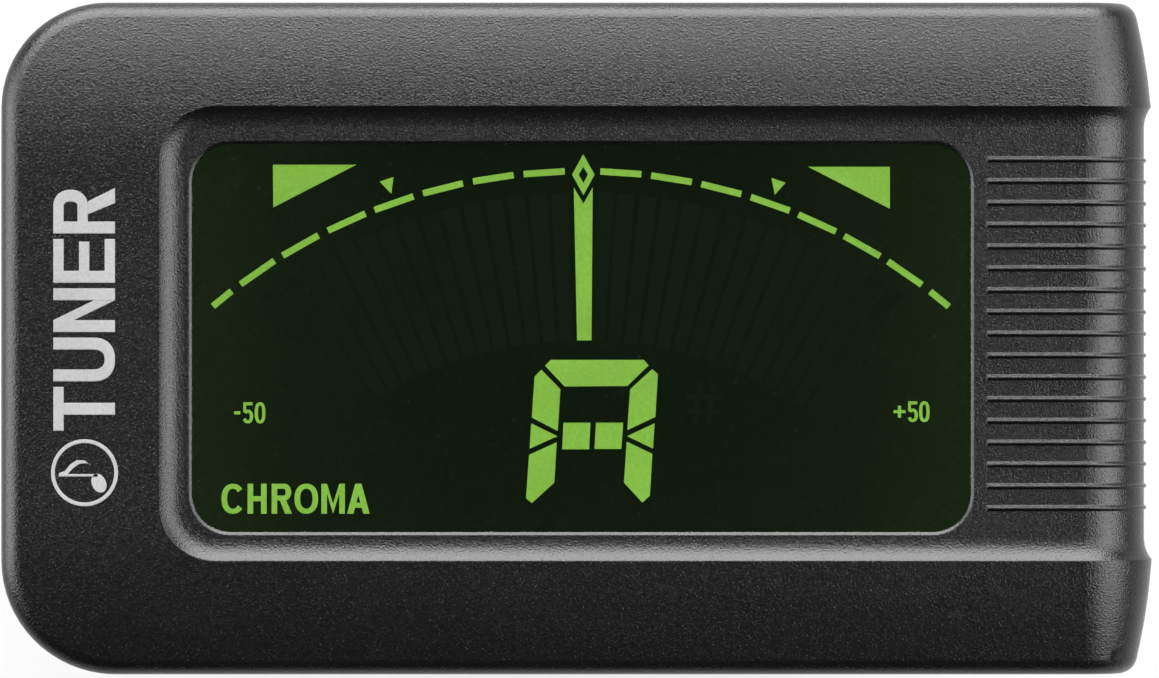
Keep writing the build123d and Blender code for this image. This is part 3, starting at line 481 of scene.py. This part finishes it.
# ------------------------------------------------------- display segments
lcd_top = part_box("lcd_panel")[1][2]
z0 = lcd_top + 0.000010
t = 0.000025
segs = []


def seg(name, polys, mat=lit, z=z0):
    o = plates(name, polys, z, t, mat)
    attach(o, "head")
    return o


seg("note_segments", NOTE)
seg("arrow_segments", ARROWS)
seg("needle_segment", [NEEDLE])
seg("diamond_segment", [(DIA_OUT, DIA_IN)])
dashes = []
for i, (x, y) in enumerate(DASHES):
    ang = math.atan2(y - ARC_C[1], x - ARC_C[0]) - math.pi / 2
    dashes.append(bar(x, y, ang, DASH_SHORT if i in (0, len(DASHES) - 1) else DASH_LONG, DASH_T))
seg("scale_dashes", dashes)
WORDS = [("scale_minus", [("-", -17.94, -17.62), ("5", -17.50, -16.95), ("0", -16.87, -16.31)], -4.42, -3.32, 0.17, 0.16),
         ("scale_plus", [("+", 16.37, 16.99), ("5", 17.09, 17.64), ("0", 17.70, 18.25)], -4.35, -3.27, 0.17, 0.16),
         ("mode_word", [("C", -18.60, -17.40), ("H", -17.24, -16.25), ("R", -15.99, -14.97), ("O", -14.80, -13.57),
                        ("M", -13.40, -12.18), ("A", -12.06, -10.89)], -9.12, -7.56, 0.29, 0.26)]
for nm, letters, y0, y1, stem, barw in WORDS:
    polys = []
    for ch, x0, x1 in letters:
        polys += glyph(ch, x0, x1, y0, y1, stem, barw)
    seg(nm, polys)
# unlit needles fan out from the same centre, and an unlit sharp sign stands beside the note
fan = []
for k in range(-15, 16):
    if k == 0:
        continue
    a = math.radians(2.32 * k)
    h = math.radians(0.92)
    r0, r1 = 20.85, 28.55
    fan.append([(ARC_C[0] + r * math.sin(a + s * h), ARC_C[1] + r * math.cos(a + s * h))
                for r, s in ((r0, -1), (r0, 1), (r1, 1), (r1, -1))])
seg("needle_fan_off", fan, ghost, z0 - 0.000006)
sharp = [bar(6.15, -3.42, math.radians(84), 2.3, 0.26), bar(6.85, -3.42, math.radians(84), 2.3, 0.26)]
seg("sharp_sign_off", sharp, ghost, z0 - 0.000006)
sharp2 = [bar(6.5, -3.05, 0.0, 1.8, 0.26), bar(6.5, -3.8, 0.0, 1.8, 0.26)]
seg("sharp_bars_off", sharp2, ghost, z0 - 0.000004)

# --------------------------------------------------------- print on the rim
rim_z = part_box("front_case")[1][2]


def stand(polys, cx):
    """Turn outlines drawn along +X so that they read along +Y, about the column x = cx."""
    out = []
    for p in polys:
        if isinstance(p[0][0], (tuple, list)):
            out.append(tuple([(cx - y, x) for x, y in q] for q in p))
        else:
            out.append([(cx - y, x) for x, y in p])
    return out


letters = []
for k, ch in enumerate("TUNER"):
    u = -4.78 + 2.555 * k
    letters += glyph(ch, u, u + 2.27, -1.6, 1.6, 0.62, 0.54)
pr = plates("rim_word", stand(letters, -25.64), rim_z - 0.000004, 0.000010, print_w)
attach(pr, "head")


def eighth_note(cx, cy, s):
    """A plain eighth note lying along +Y: slanted oval head, stem and flag (mm)."""
    def turn(p):
        return (cx - p[1] * s, cy + p[0] * s)
    head = []
    for i in range(28):
        a = 2 * math.pi * i / 28
        x, y = 0.78 * math.cos(a), 0.56 * math.sin(a)
        c, q = math.cos(0.42), math.sin(0.42)
        head.append(turn((x * c - y * q - 0.55, x * q + y * c - 1.25)))
    stem = [turn(p) for p in ((-0.02, -1.15), (0.17, -1.15), (0.17, 1.9), (-0.02, 1.9))]
    flag = [turn(p) for p in ((0.17, 1.9), (0.17, 1.2), (0.62, 0.78), (0.98, 0.28), (1.02, -0.35), (0.86, -0.62),
                              (1.24, -0.12), (1.26, 0.5), (0.92, 1.02), (0.42, 1.42), (0.24, 1.9))]
    return [head, stem, flag]


ring_o = [(-25.62 + 1.74 * math.cos(i * math.pi / 32), -6.96 + 1.74 * math.sin(i * math.pi / 32)) for i in range(64)]
ring_i = [(-25.62 + 1.54 * math.cos(i * math.pi / 32), -6.96 + 1.54 * math.sin(i * math.pi / 32)) for i in range(64)]
mk = plates("rim_note", eighth_note(-25.70, -7.14, 0.66) + [(ring_o, ring_i)], rim_z - 0.000004, 0.000010, print_w)
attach(mk, "head")

# ---------------------------------------------------------- marks on the keys
def flip(polys, cx, cy, k=1.0):
    """Outlines drawn round the origin, placed for reading from below (mirrored in x)."""
    return [[(cx - x * k, cy + y * k) for x, y in p] for p in polys]


def sector(r0, r1, a0, a1, n=24):
    out = [(r1 * math.cos(math.radians(a0 + (a1 - a0) * i / n)), r1 * math.sin(math.radians(a0 + (a1 - a0) * i / n))) for i in range(n + 1)]
    return out + [(r0 * math.cos(math.radians(a1 + (a0 - a1) * i / n)), r0 * math.sin(math.radians(a1 + (a0 - a1) * i / n)))
                  for i in range(n + 1)]


POWER = [sector(0.82, 1.08, 125, 415), [(-0.13, 0.35), (0.13, 0.35), (0.13, 1.3), (-0.13, 1.3)]]
MODE = [[(-1.5, -0.62), (-0.5, -0.62), (-0.5, -0.40), (-1.5, -0.40)], [(-1.5, -0.11), (0.3, -0.11), (0.3, 0.11), (-1.5, 0.11)],
        [(-1.5, 0.40), (1.2, 0.40), (1.2, 0.62), (-1.5, 0.62)]]
FLAT = [[(-0.62, -1.0), (-0.40, -0.80), (-0.40, 1.2), (-0.62, 1.2)],
        [(-0.40, 0.22)] + [(-0.40 + 0.86 * math.sin(q), -0.32 + 0.54 * math.cos(q)) for q in (0.5, 1.0, 1.4, 1.9)] + [(-0.40, -1.0), (-0.40, -0.72)]
        + [(-0.40 + 0.56 * math.sin(q), -0.30 + 0.30 * math.cos(q)) for q in (1.9, 1.4, 1.0, 0.5)] + [(-0.40, -0.02)]]
PITCH = [[(-1.3, 0.18), (-0.3, 0.18), (-0.8, 0.95)], [(0.3, -0.18), (1.3, -0.18), (0.8, -0.95)]]
for node, body, polys, cx, cy in (("power_button", "power_key", POWER, 13.6, 6.8), ("mode_button", "mode_key", MODE, 22.0, 6.8),
                                  ("flat_button", "flat_key", FLAT, 13.6, -6.8), ("pitch_button", "pitch_key", PITCH, 22.0, -6.8)):
    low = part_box(node)[0][2]
    o = plates(node + "_mark", flip(polys, cx, cy), low - 0.000010, 0.000014, mark_d)
    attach(o, body)


# ------------------------------------------------------------- torsion spring
def tube(name, path, r, sides, mat):
    """Round wire swept along a path (mm), closed at both ends by small caps."""
    pts = [Vector(p) for p in path]
    tang = []
    for i in range(len(pts)):
        a, b = pts[max(i - 1, 0)], pts[min(i + 1, len(pts) - 1)]
        tang.append((b - a).normalized())
    up = Vector((0, 1, 0))
    side = (up - tang[0] * up.dot(tang[0])).normalized()
    bm = bmesh.new()
    rings = []
    for p, tv in zip(pts, tang):
        side = (side - tv * side.dot(tv)).normalized()
        other = tv.cross(side)
        rings.append([bm.verts.new((p + (side * math.cos(q) + other * math.sin(q)) * r) * MM)
                      for q in (2 * math.pi * k / sides for k in range(sides))])
    for a, b in zip(rings[:-1], rings[1:]):
        for k in range(sides):
            bm.faces.new((a[k], a[(k + 1) % sides], b[(k + 1) % sides], b[k]))
    for ring, tv, p in ((rings[0], -tang[0], pts[0]), (rings[-1], tang[-1], pts[-1])):
        last = ring
        for j in range(1, 4):
            q = j * math.pi / 8
            nxt = [bm.verts.new((p * MM + (v.co - p * MM) * math.cos(q) + tv * (r * math.sin(q) * MM))) for v in ring]
            for k in range(sides):
                bm.faces.new((last[k], last[(k + 1) % sides], nxt[(k + 1) % sides], nxt[k]))
            last = nxt
        bm.faces.new(last)
    bmesh.ops.recalc_face_normals(bm, faces=bm.faces)
    for f in bm.faces:
        f.smooth = True
    me = bpy.data.meshes.new(name)
    bm.to_mesh(me)
    bm.free()
    return link(me, name, mat)


HX, HZ, CR, WR, HY = 5.0, 8.5, 2.3, 0.5, 4.3
lo_a, up_a = math.radians(12.0), math.radians(14.2)
first, sweep_a = math.radians(102.0), 2 * math.pi * (7 + (180 - 12.0 - 14.2) / 360)
path = [(20.4 - (20.4 - (HX - CR * math.sin(lo_a))) * i / 24, -HY,
         HZ - CR * math.cos(lo_a) - (20.4 - (HX - CR * math.sin(lo_a))) * (1 - i / 24) * math.tan(lo_a)) for i in range(24)]
steps = 7 * 40
for i in range(steps + 1):
    a = first + sweep_a * i / steps
    path.append((HX + CR * math.cos(a), -HY + 2 * HY * i / steps, HZ - CR * math.sin(a)))
ux, uz = HX - CR * math.sin(up_a), HZ + CR * math.cos(up_a)
path += [(ux + (20.4 - ux) * i / 24, HY, uz + (20.4 - ux) * i / 24 * math.tan(up_a)) for i in range(1, 25)]
coil = tube("torsion_spring", path, WR, 12, wire_m)
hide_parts("jaw_spring")
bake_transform(coil)

# ------------------------------------------------------------ floor, light
fl = bmesh.new()
bmesh.ops.create_grid(fl, x_segments=8, y_segments=8, size=1.6)
fm = bpy.data.meshes.new("floor")
fl.to_mesh(fm)
fl.free()
floor = link(fm, "floor", floor_material("floor_pale"))
floor.location.z = -0.00005

world = bpy.data.worlds.new("studio")
world.use_nodes = True
world.node_tree.nodes["Background"].inputs["Color"].default_value = (1, 1, 1, 1)
world.node_tree.nodes["Background"].inputs["Strength"].default_value = 0.018
bpy.context.scene.world = world


def softbox(name, loc, target, w, h, power):
    ld = bpy.data.lights.new(name, "AREA")
    ld.shape = "RECTANGLE"
    ld.size = w
    ld.size_y = h
    ld.energy = power
    lo = bpy.data.objects.new(name, ld)
    bpy.context.scene.collection.objects.link(lo)
    lo.location = loc
    d = Vector(target) - Vector(loc)
    lo.rotation_euler = d.to_track_quat("-Z", "Y").to_euler()
    return lo


softbox("key_top", (0.0, 0.435, 0.295), (0, 0, 0.038), 0.62, 0.54, 14.0)
softbox("left", (-0.397, 0.03, 0.249), (0, 0, 0.038), 0.37, 0.50, 4.7)
softbox("right", (0.345, 0.03, 0.343), (0, 0, 0.038), 0.40, 0.40, 4.1)

cam_d = 0.50
cd = bpy.data.cameras.new("camera")
cd.sensor_width = 36.0
cd.lens = 36.0 * cam_d / 0.060365
cd.clip_start = 0.02
cam = bpy.data.objects.new("camera", cd)
bpy.context.scene.collection.objects.link(cam)
cam.location = (0.00003, -0.00003, 0.036 + cam_d)
cam.rotation_euler = (0, 0, 0)
bpy.context.scene.camera = cam
bpy.context.scene.view_settings.view_transform = "Standard"
bpy.context.scene.view_settings.look = "None"
